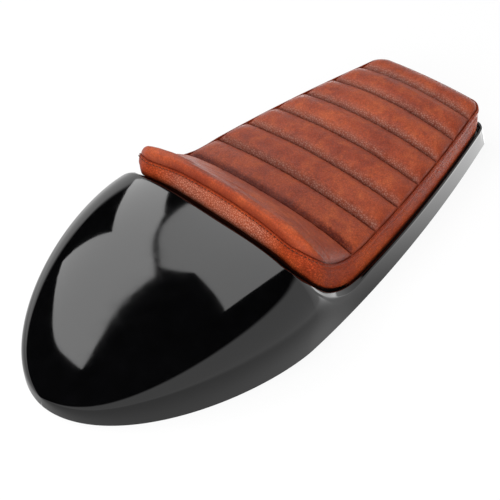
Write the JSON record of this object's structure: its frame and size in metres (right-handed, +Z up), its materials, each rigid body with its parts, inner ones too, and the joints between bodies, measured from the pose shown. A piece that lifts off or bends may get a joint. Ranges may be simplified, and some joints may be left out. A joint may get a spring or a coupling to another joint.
{
  "type": "seat cowl",
  "caption": "Single motorcycle seat: gloss moulded shell with a tail hump and a quilted brown leather cushion.",
  "frame": {"origin": "centre of the bounding box at the level of the shell's lower edge", "axes": "+X towards the nose, +Y to the rider's left, +Z up"},
  "size_m": [0.54, 0.25, 0.0995],
  "materials": {
    "shell": "gloss black moulded shell",
    "leather_top": "reddish brown grained leather with sewn cross channels",
    "leather_band": "reddish brown grained leather",
    "foam": "moulded foam, hidden under the cover",
    "pan": "plain black plastic board",
    "fastener": "zinc plated steel"
  },
  "bodies": {
    "root": {"cowl_shell": "shell", "seat_pan": "pan", "foam_pad": "foam", "cover_top_panel": "leather_top", "cover_side_band": "leather_band", "mount_nut_rear_right": "fastener", "mount_nut_rear_left": "fastener", "mount_nut_front_right": "fastener", "mount_nut_front_left": "fastener", "screw_rear_right": "fastener", "screw_rear_left": "fastener", "screw_mid_right": "fastener", "screw_mid_left": "fastener", "screw_front_right": "fastener", "screw_front_left": "fastener", "washer_rear_right": "fastener", "washer_rear_left": "fastener", "washer_mid_right": "fastener", "washer_mid_left": "fastener", "washer_front_right": "fastener", "washer_front_left": "fastener"}
  },
  "joints": []
}
